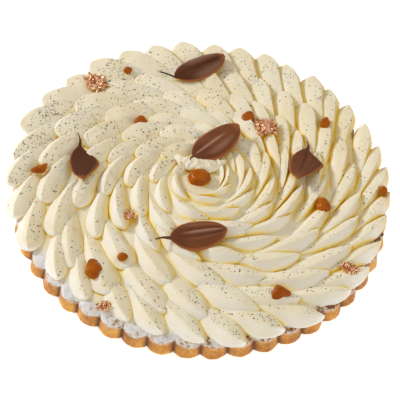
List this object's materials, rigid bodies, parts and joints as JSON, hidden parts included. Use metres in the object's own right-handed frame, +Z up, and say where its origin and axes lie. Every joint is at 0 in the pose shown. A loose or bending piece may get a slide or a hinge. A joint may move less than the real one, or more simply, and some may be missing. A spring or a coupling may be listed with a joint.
{
  "type": "vanilla caramel tart",
  "caption": "Round fluted tart covered with a swirl of piped vanilla cream petals, dusted rim, chocolate leaves, caramel drops and copper-coloured foil flakes.",
  "frame": {"origin": "middle of the shell's flat underside, on the surface that the tart stands on", "axes": "+Z up out of the cream; +Y towards the back, away from the viewer of the reference picture; +X to the viewer's right"},
  "size_m": [0.2823, 0.2879, 0.0345],
  "materials": {
    "pastry": "matte, browned short pastry",
    "cream": "satin, piped vanilla cream",
    "chocolate": "satin milk chocolate",
    "caramel": "glossy soft caramel",
    "copper_foil": "crinkled edible copper-coloured foil"
  },
  "bodies": {
    "root": {"shell": "pastry", "cream": "cream", "leaf_back": "chocolate", "leaf_centre": "chocolate", "leaf_front": "chocolate", "leaf_left": "chocolate", "leaf_right": "chocolate", "caramel_1": "caramel", "caramel_2": "caramel", "caramel_3": "caramel", "caramel_4": "caramel", "caramel_5": "caramel", "caramel_6": "caramel", "caramel_7": "caramel", "caramel_8": "caramel", "caramel_9": "caramel", "caramel_10": "caramel", "caramel_11": "caramel", "foil_1": "copper_foil", "foil_2": "copper_foil", "foil_3": "copper_foil", "foil_4": "copper_foil", "foil_5": "copper_foil"}
  },
  "joints": []
}
